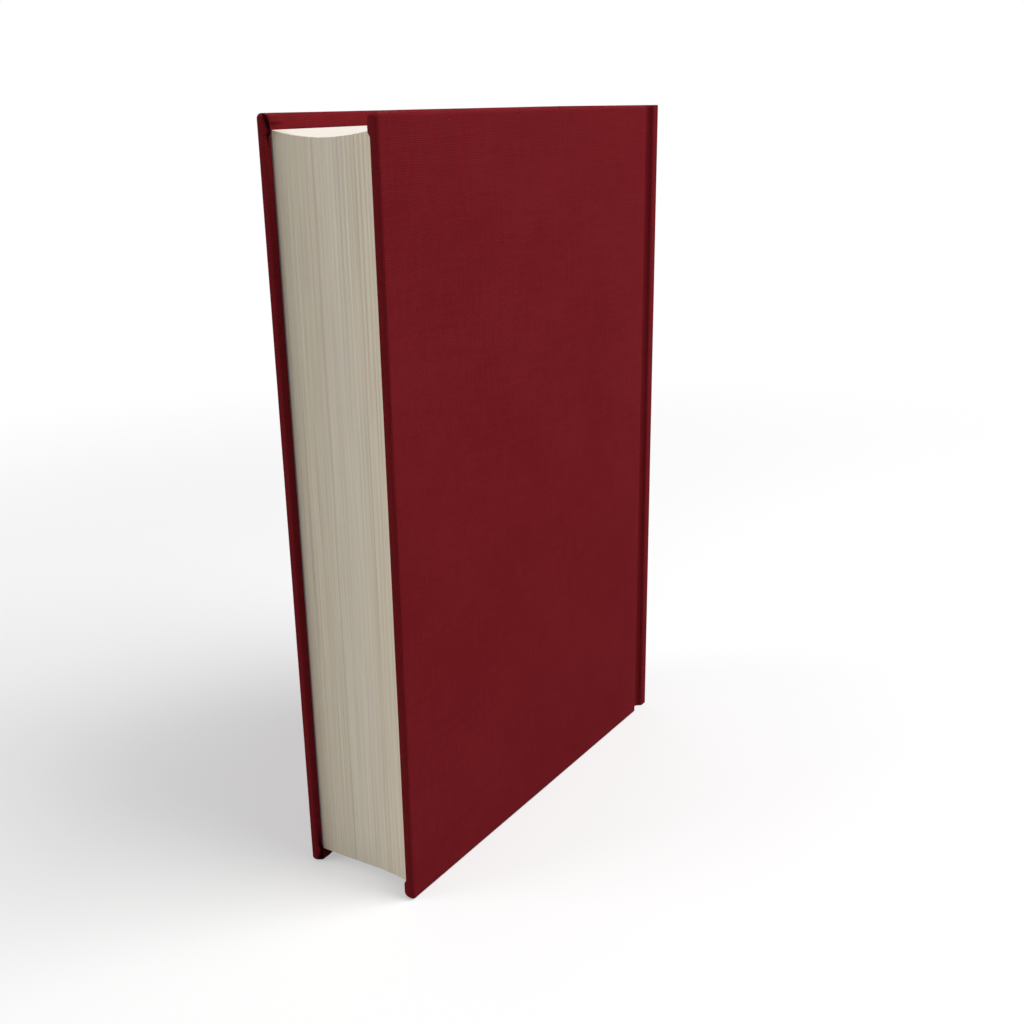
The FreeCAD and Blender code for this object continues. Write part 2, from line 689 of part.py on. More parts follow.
os.makedirs("parts", exist_ok=True)
for node in nodes:
    node.Shape.exportStep(f"parts/{node.Label}.step")
    spread = node.Shape.optimalBoundingBox(False)
    print(
        f"{node.Label}: {node.Shape.Volume:.1f} mm3, "
        f"x {spread.XMin:.2f} to {spread.XMax:.2f}, "
        f"y {spread.YMin:.2f} to {spread.YMax:.2f}, z {spread.ZMin:.2f} to {spread.ZMax:.2f}"
    )
hinge_x = number(f"{SHOULDER_X} + {ENDPAPER_SIDE} / 2")
print(f"Hinge axes: x = +-{hinge_x:.3f}, y = {number(SHOULDER):.3f}")
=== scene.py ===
import math
import random

import bmesh
import bpy
from mathutils import Matrix, Vector, noise


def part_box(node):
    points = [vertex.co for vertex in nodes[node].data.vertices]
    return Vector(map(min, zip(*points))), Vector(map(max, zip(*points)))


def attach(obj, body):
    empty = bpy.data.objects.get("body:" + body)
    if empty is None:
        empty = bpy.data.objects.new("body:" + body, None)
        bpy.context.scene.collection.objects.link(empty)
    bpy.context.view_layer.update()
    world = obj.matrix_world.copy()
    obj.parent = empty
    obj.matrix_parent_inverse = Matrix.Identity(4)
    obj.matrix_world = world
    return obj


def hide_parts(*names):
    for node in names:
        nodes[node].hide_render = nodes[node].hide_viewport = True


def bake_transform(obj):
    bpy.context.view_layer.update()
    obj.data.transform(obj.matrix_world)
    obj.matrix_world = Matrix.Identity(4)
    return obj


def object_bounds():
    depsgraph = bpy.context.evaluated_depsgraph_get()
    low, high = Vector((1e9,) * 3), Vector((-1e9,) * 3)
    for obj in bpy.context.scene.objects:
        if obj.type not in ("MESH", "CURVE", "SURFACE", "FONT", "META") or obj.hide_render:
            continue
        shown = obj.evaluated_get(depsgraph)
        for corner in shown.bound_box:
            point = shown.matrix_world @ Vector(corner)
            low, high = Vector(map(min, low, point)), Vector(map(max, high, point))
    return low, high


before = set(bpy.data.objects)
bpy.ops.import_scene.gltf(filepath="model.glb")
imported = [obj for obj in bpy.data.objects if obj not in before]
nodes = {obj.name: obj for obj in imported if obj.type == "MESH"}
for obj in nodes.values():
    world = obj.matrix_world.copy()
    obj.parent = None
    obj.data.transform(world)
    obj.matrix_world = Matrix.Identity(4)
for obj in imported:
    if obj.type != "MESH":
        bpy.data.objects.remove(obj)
cad_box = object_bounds()

# View and lights
# The book stands upright on a pale floor and is seen from a little above, on its fore-edge.
# One broad lamp hangs above and behind on the right, and a weak one fills in from the left.
MM = 0.001
CAMERA_AT = Vector((233.6, -342.5, 242.3)) * MM
HEADING, PITCH, ROLL = (math.radians(angle) for angle in (33.475, 18.486, 0.867))
FOCAL_PIXELS, PICTURE_PIXELS, SENSOR_WIDTH = 1231.0, 1024, 36.0

scene = bpy.context.scene
scene.view_settings.view_transform = "Standard"


def link(name, data):
    made = bpy.data.objects.new(name, data)
    scene.collection.objects.link(made)
    return made


camera = link("camera", bpy.data.cameras.new("camera"))
camera.data.sensor_width = SENSOR_WIDTH
camera.data.lens = FOCAL_PIXELS / PICTURE_PIXELS * SENSOR_WIDTH
camera.data.clip_start, camera.data.clip_end = 0.01, 20
turned = Matrix.Rotation(HEADING, 4, "Z") @ Matrix.Rotation(math.pi / 2 - PITCH, 4, "X")
turned = turned @ Matrix.Rotation(-ROLL, 4, "Z")
camera.matrix_world = Matrix.Translation(CAMERA_AT) @ turned
scene.camera = camera


def softbox(name, direction, distance, size, watts):
    """A square lamp that looks at the middle of the book from the given direction."""
    lamp = link(name, bpy.data.lights.new(name, "AREA"))
    lamp.data.shape = "SQUARE"
    lamp.data.size = size
    lamp.data.energy = watts
    towards = Vector(direction).normalized()
    middle = (cad_box[0] + cad_box[1]) / 2
    facing = towards.to_track_quat("Z", "Y").to_matrix().to_4x4()
    lamp.matrix_world = Matrix.Translation(middle + towards * distance) @ facing


softbox("key", (0.58, 0.25, 0.77), distance=1.3, size=0.9, watts=18.3)
softbox("fill", (-0.7, -0.77, 0.3), distance=1.5, size=0.8, watts=8)


class Socket:
    """A shader value whose sums, products and comparisons become Math nodes."""

    def __init__(self, tree, socket):
        self.tree = tree
        self.socket = socket

    def node(self, kind, output=0, settings=None, **inputs):
        """Adds a node of this type and gives one of its outputs, by number or name. Its inputs are
        named, or numbered as in_0, in_1."""
        made = self.tree.nodes.new(kind)
        for key, value in (settings or {}).items():
            setattr(made, key, value)
        for key, value in inputs.items():
            if key.startswith("in_"):
                entry = made.inputs[int(key[3:])]
            else:
                entry = made.inputs[key.replace("_", " ")]
            if isinstance(value, Socket):
                self.tree.links.new(value.socket, entry)
            else:
                entry.default_value = value
        return Socket(self.tree, made.outputs[output])

    def math(self, operation, *values, clamp=False):
        settings = {"operation": operation, "use_clamp": clamp}
        inputs = {f"in_{index}": value for index, value in enumerate(values)}
        return self.node("ShaderNodeMath", settings=settings, **inputs)

    def __add__(self, other):
        return self.math("ADD", self, other)

    def __radd__(self, other):
        return self.math("ADD", other, self)

    def __sub__(self, other):
        return self.math("SUBTRACT", self, other)

    def __rsub__(self, other):
        return self.math("SUBTRACT", other, self)

    def __mul__(self, other):
        return self.math("MULTIPLY", self, other)

    def __rmul__(self, other):
        return self.math("MULTIPLY", other, self)

    def __truediv__(self, other):
        return self.math("DIVIDE", self, other)

    def __gt__(self, other):
        return self.math("GREATER_THAN", self, other)

    def floor(self):
        return self.math("FLOOR", self)

    def fract(self):
        return self.math("FRACT", self)

    def ramp(self, low, high, to_low=0.0, to_high=1.0):
        """This value spread smoothly from one range over another, and held at its ends."""
        settings = {"interpolation_type": "SMOOTHSTEP", "clamp": True}
        values = {"in_0": self, "in_1": low, "in_2": high, "in_3": to_low, "in_4": to_high}
        return self.node("ShaderNodeMapRange", settings=settings, **values)

    def part(self, index):
        """One of the three parts of this vector."""
        return self.node("ShaderNodeSeparateXYZ", index, in_0=self)

    def blend_into(self, first, second, mode="MIX"):
        """Mixes two colours by this value."""
        settings = {"data_type": "RGBA", "blend_type": mode}
        return self.node("ShaderNodeMix", 2, settings, in_0=self, in_6=first, in_7=second)

    def noise(self, scale, detail=2.0, roughness=0.5):
        inputs = {"Vector": self, "Scale": scale, "Detail": detail, "Roughness": roughness}
        return self.node("ShaderNodeTexNoise", **inputs)


def vector(x, y, z):
    """Three values as one vector; at least one of them is a Socket."""
    some = next(value for value in (x, y, z) if isinstance(value, Socket))
    return some.node("ShaderNodeCombineXYZ", in_0=x, in_1=y, in_2=z)


def start_material(name, roughness):
    """A new material, with a Socket to build from and its shader node."""
    made = bpy.data.materials.new(name)
    made.use_nodes = True
    shader = made.node_tree.nodes["Principled BSDF"]
    shader.inputs["Roughness"].default_value = roughness
    return made, Socket(made.node_tree, None), shader


def feed(maker, shader, **inputs):
    """Links each value to the shader's socket of that name."""
    for key, value in inputs.items():
        maker.tree.links.new(value.socket, shader.inputs[key.replace("_", " ")])


def colour(red, green, blue):
    """An sRGB colour, 0 to 255, as the shader's linear one."""
    parts = [value / 255 for value in (red, green, blue)]
    return (*(p / 12.92 if p <= 0.04045 else ((p + 0.055) / 1.055) ** 2.4 for p in parts), 1.0)


SHARP_FROM = math.radians(55)


def new_mesh(name, bm, material):
    """Makes the bmesh an object with this material, at the origin; its steep edges stay sharp."""
    for edge in bm.edges:
        edge.smooth = not edge.is_manifold or edge.calc_face_angle() < SHARP_FROM
    mesh = bpy.data.meshes.new(name)
    bm.to_mesh(mesh)
    bm.free()
    mesh.shade_smooth()
    mesh.materials.append(material)
    return link(name, mesh)


def smooth_step(value, low, high):
    """0 below low and 1 above high, with a soft change between them."""
    share = min(1.0, max(0.0, (value - low) / (high - low)))
    return share * share * (3 - 2 * share)


def wobble(point, wavelength, seed):
    """Smooth noise from -1 to 1 at a point in metres."""
    return noise.noise(Vector(point) / wavelength + Vector((seed, seed * 0.37, -seed)))


# Sewn leaves
# About 350 cream leaves in sewn gatherings, trimmed flush at the head, tail and fore-edge.
# The back is rounded, so the fore-edge is hollow, and the middle leaves have sunk at the fore-edge.
back_x, crown_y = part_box("text_block")[1].x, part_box("text_block")[1].y
head_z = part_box("text_block")[1].z
fore_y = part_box("text_block")[0].y
tail_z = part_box("front_pastedown")[0].z
leaves_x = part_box("back_flyleaf")[0].x
shoulder_tip_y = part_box("front_flyleaf")[1].y
FORE_HOLLOW = 3.0 * MM
EDGE_SAG, MIDDLE_SAG, SAG_SKEW = 0.7 * MM, 2.0 * MM, 0.18
SHOULDER_RADIUS = 4.0 * MM
bend_x = leaves_x + SHOULDER_RADIUS
bend_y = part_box("spine_cloth")[0].y
GATHERINGS, LEAVES_IN_A_RIDGE = 21, 7
RIDGES = GATHERINGS * LEAVES_IN_A_RIDGE
back_radius = (back_x**2 + (crown_y - shoulder_tip_y) ** 2) / (2 * (crown_y - shoulder_tip_y))
fore_radius = (leaves_x**2 + FORE_HOLLOW**2) / (2 * FORE_HOLLOW)
back_centre_y = crown_y - back_radius

chance = random.Random(7)
gathering_step = [chance.uniform(-1, 1) for _ in range(GATHERINGS + 1)]
ridge_step = [chance.uniform(-1, 1) for _ in range(RIDGES + 2)]
GATHERING_RELIEF, RIDGE_RELIEF, EDGE_WAVE = 0.07 * MM, 0.05 * MM, 0.12 * MM
FORE_WAVELENGTH, END_WAVELENGTH = 6 * MM, 2 * MM


def leaf_width(y):
    """Half the thickness of the leaves at a depth, which flares out to the shoulders."""
    rise = min(max(y - bend_y, 0.0), SHOULDER_RADIUS * 0.99)
    return min(back_x, bend_x - math.sqrt(SHOULDER_RADIUS**2 - rise**2))


def leaf_point(across, along, up, relief=1.0):
    """The place of a point of the leaves: across -1 to 1, along 0 at the fore-edge to 1 at the
    back, and up 0 to 1."""
    front_y = fore_y + FORE_HOLLOW - fore_radius + math.sqrt(fore_radius**2 - (across * leaves_x) ** 2)
    rear_y = back_centre_y + math.sqrt(back_radius**2 - (across * back_x) ** 2)
    y = front_y + (rear_y - front_y) * along
    share = across + SAG_SKEW * (1 - across**2)
    sag = (EDGE_SAG + MIDDLE_SAG * (1 - share**2)) * (1 - along)
    ridge = round((across + 1) / 2 * RIDGES)
    inner = 1 - abs(across) ** 12
    step = gathering_step[min(ridge // LEAVES_IN_A_RIDGE, GATHERINGS)] * GATHERING_RELIEF
    step += ridge_step[ridge] * RIDGE_RELIEF
    height = tail_z + (head_z - tail_z) * up
    wave = wobble((across * leaves_x, 0, height * 0.25), FORE_WAVELENGTH, 3.1) * EDGE_WAVE
    near_fore = (1 - smooth_step(along, 0.0, 0.01)) * inner * relief
    y += (step + wave) * near_fore
    seed = 9.7 if up > 0.5 else 5.3
    end_wave = wobble((across * leaves_x, y * 0.1, 0), END_WAVELENGTH, seed) * EDGE_WAVE
    lift = (step * 0.5 + end_wave * 0.4) * inner * relief * (1 if up >= 1 else -1 if up <= 0 else 0)
    return Vector((across * leaf_width(y), y, height - sag - abs(lift) * (1 if up > 0.5 else -1)))


def cut_along(bm, axis, cuts):
    """Cuts every edge that runs along an axis into equal lengths."""
    running = [e for e in bm.edges if abs((e.verts[1].co - e.verts[0].co).normalized()[axis]) > 0.99]
    bmesh.ops.subdivide_edges(bm, edges=running, cuts=cuts, use_grid_fill=True)


DEPTH_CUTS, HEIGHT_CUTS, CLOSER_AT_BACK = 55, 70, 1.35
bm = bmesh.new()
bmesh.ops.create_cube(bm, size=2)
cut_along(bm, 0, RIDGES - 1)
cut_along(bm, 1, DEPTH_CUTS)
cut_along(bm, 2, HEIGHT_CUTS)
leaf_layer = bm.verts.layers.float.new("leaf")
for vert in bm.verts:
    across, along, up = vert.co.x, (vert.co.y + 1) / 2, (vert.co.z + 1) / 2
    along = 1 - (1 - along) ** CLOSER_AT_BACK
    vert[leaf_layer] = across * leaves_x / MM
    vert.co = leaf_point(across, along, up)

leaf_edges, maker, shader = start_material("trimmed_leaves", 0.85)
shader.inputs["Specular IOR Level"].default_value = 0.05
GATHERING_THICKNESS = 1.76
leaf = maker.node("ShaderNodeAttribute", "Fac", {"attribute_name": "leaf"})
place = maker.node("ShaderNodeTexCoord", "Object")
depth_mm = place.part(1) / MM
height_mm = place.part(2) / MM
FORE_END, FORE_BACK = fore_y / MM + 2.0, fore_y / MM + 5.0
on_fore = depth_mm.ramp(FORE_BACK, FORE_END)
streak_place = vector(leaf, 0.0, height_mm * 0.005)
fine = streak_place.noise(2.6, 3.0, 0.8)
middle = streak_place.noise(0.8, 1.0, 0.5)
gathering = leaf / GATHERING_THICKNESS + streak_place.noise(0.3, 0.0, 0.5) * 0.6
in_gathering = gathering.fract()
seam_depth = vector(gathering.floor() * 0.71, 0.0, height_mm * 0.012).noise(1.0, 1.0, 0.5).ramp(0.42, 0.68)
to_seam = in_gathering.math("MINIMUM", in_gathering, 1 - in_gathering)
seam_reach = leaf.ramp(-12.0, 14.0, 0.3, 1.0) * height_mm.ramp(40.0, 230.0, 0.55, 1.0)
seam = to_seam.ramp(0.34, 0.06) * seam_depth * seam_reach
gathering_tone = vector(gathering.floor() * 1.37, 0.0, height_mm * 0.006).noise(1.0, 0.0, 0.5)
SHADE_DARK, SHADE_PALE = colour(216, 203, 182), colour(244, 234, 212)
GREEN_GREY, PINK_GREY = colour(229, 221, 198), colour(238, 221, 201)
SEAM_SHADE = colour(176, 160, 142)
streaks = fine * 0.8 + middle * 0.2
# Painted shade: the darker streaks along the fore-edge stand for the shade between the leaves.
tone = streaks.ramp(0.36, 0.64).blend_into(SHADE_DARK, SHADE_PALE)
tint = gathering_tone.ramp(0.4, 0.6).blend_into(GREEN_GREY, PINK_GREY)
fore_colour = (0.25 + middle * 0.1).blend_into(tone, tint)
# Painted shade: the darker lines at the seams between gatherings stand for the shade in the gaps there.
fore_colour = (seam * 0.45).blend_into(fore_colour, SEAM_SHADE)
head_place = vector(leaf, depth_mm * 0.004, 0.0)
head_lines = head_place.noise(3.0, 3.0, 0.6)
head_colour = head_lines.ramp(0.35, 0.65).blend_into(colour(233, 227, 217), colour(240, 235, 226))
grain = place.noise(2600.0, 3.0, 0.6)
# The fore-edge colours are darker and more beige than the head's: partly painted shade between the leaf
# edges, partly dirt from handling.
paper_colour = on_fore.blend_into(head_colour, fore_colour)
bump = maker.node(
    "ShaderNodeBump", 0, Strength=0.35, Distance=0.00012, Height=fine * 0.7 + grain * 0.12 - seam * 0.8
)
feed(maker, shader, Base_Color=paper_colour, Normal=bump)
leaves = new_mesh("leaves", bm, leaf_edges)
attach(leaves, "book_block")
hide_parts("text_block")

# Free endpapers
# A black sheet on the first and on the last leaf, pasted along the back and bent round the
# shoulder with the leaves. Its edges were trimmed with theirs.
ENDPAPER, FREE_ENDPAPER = 0.2 * MM, 0.26 * MM

black_paper, maker, shader = start_material("black_endpaper", 0.62)
shader.inputs["Specular IOR Level"].default_value = 0.1
place = maker.node("ShaderNodeTexCoord", "Object")
fibres = place.noise(900.0, 4.0, 0.65)
mottle = place.noise(45.0, 2.0, 0.5)
tone = (fibres * 0.88 + mottle * 0.12).ramp(0.3, 0.7).blend_into(colour(26, 27, 29), colour(42, 43, 45))
# Painted light: the sheet turns paler grey over its last millimetre at the fore-edge, to brighten the
# shaded edge there.
fore_end_light = (place.part(1) / MM).ramp(fore_y / MM + 1.2, fore_y / MM + 0.3)
tone = fore_end_light.blend_into(tone, colour(150, 153, 155))
rough = mottle.ramp(0.35, 0.7, 0.63, 0.68)
bump = maker.node("ShaderNodeBump", 0, Strength=0.25, Distance=0.00005, Height=fibres)
feed(maker, shader, Base_Color=tone, Roughness=rough, Normal=bump)

for side, cover in ((-1, "front"), (1, "back")):
    bm = bmesh.new()
    bmesh.ops.create_grid(bm, x_segments=DEPTH_CUTS + 1, y_segments=HEIGHT_CUTS + 1, size=1)
    for vert in bm.verts:
        along, up = 1 - (1 - (vert.co.x + 1) / 2) ** CLOSER_AT_BACK, (vert.co.y + 1) / 2
        vert.co = leaf_point(side, along, up, relief=0)
    bmesh.ops.recalc_face_normals(bm, faces=bm.faces)
    if sum(face.normal.x * face.calc_area() for face in bm.faces) * side < 0:
        bmesh.ops.reverse_faces(bm, faces=bm.faces)
    bmesh.ops.solidify(bm, geom=bm.faces[:], thickness=-FREE_ENDPAPER)
    bmesh.ops.recalc_face_normals(bm, faces=bm.faces)
    flyleaf = new_mesh(f"{cover}_free_endpaper", bm, black_paper)
    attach(flyleaf, "book_block")
    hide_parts(f"{cover}_flyleaf")

# Cloth covers
# Red book cloth pasted round a greyboard and turned in on all sides. From the board's back
# edge it runs on across the groove of the joint and up to the shoulder of the leaves.
cover_x = cad_box[1].x
turn_in_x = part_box("back_cloth")[0].x
board_out_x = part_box("back_board")[1].x
cloth = cover_x - board_out_x
board_in_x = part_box("back_board")[0].x
groove_x = board_in_x + cloth
cover_fore_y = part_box("back_cloth")[0].y
board_edge_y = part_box("back_board")[1].y + cloth
case_height = cad_box[1].z
TURN_IN_DEPTH = 15 * MM
CORNER_RADIUS, RIM_RADIUS = 1.5 * MM, 1.05 * MM
THREAD_ALONG, THREAD_ACROSS = 0.48 * MM, 0.54 * MM
joint_tip_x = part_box("spine_cloth")[1].x
JOINT_TIP_Y = 76.4 * MM

book_cloth, maker, shader = start_material("red_book_cloth", 0.85)
shader.inputs["Specular IOR Level"].default_value = 0.02
cut = maker.node("ShaderNodeUVMap", 0, {"uv_map": "cloth"})
wander = cut.noise(120.0, 3.0, 0.6)
warp = cut.part(0) / THREAD_ALONG + wander * 1.2
weft = cut.part(1) / THREAD_ACROSS + wander * 1.4
warp_part, weft_part = warp.fract(), weft.fract()
parity = ((warp.floor() + weft.floor()) * 0.5).fract() > 0.25


def crown(part, depth):
    """One thread's rounded top, 1 in its middle and less at its sides."""
    centred = part * 2 - 1
    return 1 - centred * centred * depth


warp_top = crown(warp_part, 0.95) * crown(weft_part, 0.55)
weft_top = crown(weft_part, 0.95) * crown(warp_part, 0.55)
weave = weft_top * parity + warp_top * (1 - parity)
warp_slub = vector(warp.floor() * 0.37, cut.part(1) / (14 * MM), 0.0).noise(1.0, 2.0, 0.6)
weft_slub = vector(weft.floor() * 0.37, cut.part(0) / (14 * MM), 3.3).noise(1.0, 2.0, 0.6)
slub = weft_slub * parity + warp_slub * (1 - parity)
patches = cut.noise(22.0, 3.0, 0.55)
worn = maker.node("ShaderNodeAttribute", "Fac", {"attribute_name": "worn"})
pleat_shade = maker.node("ShaderNodeAttribute", "Fac", {"attribute_name": "pleat_shade"})
WEAVE_SHADE_RED, CLOTH_RED, TOP_RED = colour(100, 16, 23), colour(113, 26, 32), colour(124, 34, 40)
FOLD_SHADE_RED, WORN_GREY = colour(34, 3, 8), colour(150, 132, 124)
body_red = (patches * 0.5 + slub * 0.6).ramp(0.35, 0.75).blend_into(CLOTH_RED, TOP_RED)
# Painted shade: the hollows between the threads are a darker red.
red = weave.ramp(0.1, 0.75).blend_into(WEAVE_SHADE_RED, body_red)
# Painted shade: the fold of each corner pleat is a near-black red.
red = pleat_shade.blend_into(red, FOLD_SHADE_RED)
rubbed = (worn * 1.15 + weave * 0.2 + slub * 0.35 + cut.noise(520.0, 2.0, 0.6) * 0.8).ramp(1.3, 1.55)
cloth_colour = rubbed.blend_into(red, WORN_GREY)
bump = maker.node("ShaderNodeBump", 0, Strength=0.35, Distance=0.00015, Height=weave + slub * 0.5)
rough = weave.ramp(0.2, 0.9, 0.9, 0.78)
feed(maker, shader, Base_Color=cloth_colour, Roughness=rough, Normal=bump)


def cut_stations(bm, axis, stations):
    """Cuts the mesh by a plane across an axis at each station."""
    for station in stations:
        normal = [0, 0, 0]
        normal[axis] = 1
        geometry = bm.verts[:] + bm.edges[:] + bm.faces[:]
        bmesh.ops.bisect_plane(
            bm, geom=geometry, dist=1e-7, plane_co=Vector(normal) * station, plane_no=normal
        )


def lay_cloth_map(bm):
    """Gives the cloth its own map, in metres: each face takes the two axes that it faces least."""
    layer = bm.loops.layers.uv.new("cloth")
    bm.normal_update()
    for face in bm.faces:
        facing = max(range(3), key=lambda axis: abs(face.normal[axis]))
        first, second = {0: (1, 2), 1: (0, 2), 2: (1, 0)}[facing]
        for loop in face.loops:
            loop[layer].uv = (loop.vert.co[first], loop.vert.co[second])


def soften(bm, amount, seed):
    """Moves the surface in and out a little, as cloth and glue leave it."""
    bm.normal_update()
    for vert in bm.verts:
        swell = wobble(vert.co, 16 * MM, seed) * 0.65 + wobble(vert.co, 4 * MM, seed + 5) * 0.35
        vert.co += vert.normal * swell * amount


def near_edge_wear(point):
    """How rubbed the cloth is at a point: most at the corners and along the ends near them."""
    end = min(point.z, case_height - point.z)
    fore = point.y - cover_fore_y
    rim = 1 - smooth_step(end, 0.05 * MM, 0.6 * MM)
    fore_rim = 1 - smooth_step(fore, 0.05 * MM, 0.7 * MM)
    corner = 1 - smooth_step(math.hypot(end, fore), 0.5 * MM, 4 * MM)
    spread = 1 - smooth_step(fore, 8 * MM, 50 * MM)
    return rim * (0.28 + 0.22 * spread + 0.12 * corner) + corner * fore_rim * 0.2


def mark_wear(bm, measure):
    """Adds the wear that the measure gives at each point to the mesh's own."""
    layer = bm.verts.layers.float.get("worn") or bm.verts.layers.float.new("worn")
    for vert in bm.verts:
        vert[layer] += measure(vert.co)


TUCK_REACH, PLEAT_START, PLEAT_DEPTH, LIP_HEIGHT = 14 * MM, 0.3 * MM, 0.5 * MM, 0.14 * MM
FOLD_LENGTH, PLEAT_CURVE, SEAM_DEPTH, CORNER_SWELL = 6.3 * MM, 4.5, 0.08 * MM, 0.85 * MM


def tuck_corner(point, pleats):
    """How far the back cover's cloth moves at a folded corner, how much painted shade darkens the pleat's
    fold, and how rubbed the pleat's lip is. The pleat runs over the board's fore-edge, from a share of its
    thickness, at the tail and at the head, to its inner side."""
    end = min(point.z, case_height - point.z)
    fore = point.y - cover_fore_y
    if max(end, fore) > TUCK_REACH:
        return Vector((0, 0, 0)), 0.0, 0.0
    at_head = point.z > case_height / 2
    pleat_from = pleats[1] if at_head else pleats[0]
    thickness = cover_x - turn_in_x
    share = (cover_x - point.x) / thickness
    inside = smooth_step(share, 0.8, 0.97)
    pleat_share = 1.02 - pleat_from
    part = min(1.0, max(0.0, (share - pleat_from) / pleat_share))
    line = PLEAT_START + FOLD_LENGTH * part**PLEAT_CURVE
    steepness = FOLD_LENGTH * PLEAT_CURVE * part ** (PLEAT_CURVE - 1) / (thickness * pleat_share)
    gap = (end - line) / math.sqrt(1 + steepness**2) / MM
    on_fore_edge = 1 - smooth_step(fore, 0.9 * MM, 1.7 * MM)
    reach = smooth_step(share, pleat_from - 0.1, pleat_from + 0.1)
    fold = math.exp(-((gap / 0.25) ** 2)) * reach * on_fore_edge
    lip = math.exp(-(((gap - 0.5) / 0.22) ** 2)) * smooth_step(share, 0.12, 0.35) * on_fore_edge
    lip *= (1 - smooth_step(end, 1.0 * MM, 2.4 * MM)) * (1 if at_head else 0.2)
    mitre = (end - fore) / math.sqrt(2) / MM
    seam = math.exp(-((mitre / 0.35) ** 2)) * inside * smooth_step(fore, 1.5 * MM, 3 * MM)
    before_leaves = 1 - smooth_step(fore, 1.3 * MM, 2.1 * MM)
    before_leaves *= 1 - smooth_step(end, 4.9 * MM, 6.4 * MM)
    past_leaves = 1 - smooth_step(end, 2.2 * MM, 3.2 * MM)
    past_leaves *= 1 - smooth_step(fore, 4 * MM, 9 * MM)
    swell = inside * max(before_leaves, past_leaves) * smooth_step(end, 0, 0.8 * MM)
    move = Vector((seam * SEAM_DEPTH - swell * CORNER_SWELL, fold * PLEAT_DEPTH - lip * LIP_HEIGHT, 0))
    # The second value is the painted shade of the pleat's fold.
    return move, min(1.0, fold * 1.4), lip


FINE_STEP, FINE_REACH, COARSE_STEP, PLEAT_STEP = 0.33 * MM, 9.9 * MM, 4.5 * MM, 0.12 * MM
fine_steps = [i * FINE_STEP for i in range(1, round(FINE_REACH / FINE_STEP))]
coarse_rows = round((case_height - 2 * FINE_REACH) / COARSE_STEP)
coarse_columns = round((board_edge_y - cover_fore_y - FINE_REACH) / COARSE_STEP)
heights = fine_steps + [case_height - step for step in fine_steps]
heights += [FINE_REACH + i * COARSE_STEP for i in range(coarse_rows)]
heights += [TURN_IN_DEPTH, case_height - TURN_IN_DEPTH, case_height - FINE_REACH]
depths = fine_steps + [FINE_REACH + i * COARSE_STEP for i in range(coarse_columns)] + [TURN_IN_DEPTH]


def cloth_round_board(pleats):
    """The back cover's cloth as far as the groove, open inside where the paper covers it."""
    bm = bmesh.new()
    bmesh.ops.create_cube(bm, size=1)
    low, high = Vector((turn_in_x, cover_fore_y, 0)), Vector((cover_x, board_edge_y, case_height))
    bmesh.ops.scale(bm, vec=high - low, verts=bm.verts)
    bmesh.ops.translate(bm, vec=(low + high) / 2, verts=bm.verts)
    corner_edges = [
        e for e in bm.edges if abs(e.verts[0].co.x - e.verts[1].co.x) > 1 * MM and e.verts[0].co.y < 0
    ]
    bmesh.ops.bevel(
        bm, geom=corner_edges, offset=CORNER_RADIUS, segments=6, profile=0.5, affect="EDGES", material=-1
    )
    rim_edges = [
        e
        for e in bm.edges
        if e.calc_face_angle(0) > 1.2
        and abs(e.verts[0].co.x - e.verts[1].co.x) < 1e-6
        and not (min(v.co.y for v in e.verts) > board_edge_y - 1e-6 and e.verts[0].co.x < board_in_x)
    ]
    bmesh.ops.bevel(
        bm, geom=rim_edges, offset=RIM_RADIUS, segments=7, profile=0.5, affect="EDGES", material=-1
    )
    cut_stations(bm, 2, heights)
    cut_stations(bm, 1, [cover_fore_y + step for step in depths])
    cut_stations(bm, 0, [turn_in_x + RIM_RADIUS + i * PLEAT_STEP for i in range(1, 9)])
    under_paper = [
        f
        for f in bm.faces
        if f.normal.x < -0.9
        and f.calc_center_median().y > cover_fore_y + TURN_IN_DEPTH
        and TURN_IN_DEPTH < f.calc_center_median().z < case_height - TURN_IN_DEPTH
    ]
    bmesh.ops.delete(bm, geom=under_paper, context="FACES")
    pleat_shade, lip = bm.verts.layers.float.new("pleat_shade"), bm.verts.layers.float.new("worn")
    for vert in bm.verts:
        move, vert[pleat_shade], rubbed_lip = tuck_corner(vert.co, pleats)
        vert[lip] = rubbed_lip * 0.3
        vert.co += move
    bmesh.ops.recalc_face_normals(bm, faces=bm.faces)
    bmesh.ops.solidify(bm, geom=bm.faces[:], thickness=cloth)
    return bm


# The strip that crosses the joint is turned over on itself at the head and tail.
joint_thickness = groove_x - turn_in_x
STRIP_OVERLAP, TIP_ROUND = 0.3 * MM, 1.2 * MM


def sheet_outline(bm, x, y, inward, thickness, low=0.0, high=case_height, segments=12):
    """The outline of a standing sheet, across X and up Z, whose outer side is at x. With four
    segments its ends are cut square, and with more they are rounded as a fold is."""
    radius = thickness / 2 / math.cos(math.pi / segments)
    verts = bmesh.ops.create_circle(bm, segments=segments, radius=radius)["verts"]
    upright = Matrix.Rotation(math.pi / 2, 3, "X") @ Matrix.Rotation(math.pi / segments, 3, "Z")
    bmesh.ops.rotate(bm, cent=(0, 0, 0), matrix=upright, verts=verts)
    for vert in verts:
        vert.co.z += high - thickness / 2 if vert.co.z > 0 else low + thickness / 2
    bmesh.ops.translate(bm, vec=(x + inward * thickness / 2, y, 0), verts=verts)
    return list({e for v in verts for e in v.link_edges})


def push(bm, edges, y, steps=1):
    """Draws an outline out along Y."""
    for _ in range(steps):
        made = bmesh.ops.extrude_edge_only(bm, edges=edges)["geom"]
        moved = [item for item in made if isinstance(item, bmesh.types.BMVert)]
        bmesh.ops.translate(bm, vec=(0, y / steps, 0), verts=moved)
        edges = [
            item
            for item in made
            if isinstance(item, bmesh.types.BMEdge) and all(v in moved for v in item.verts)
        ]
    return edges


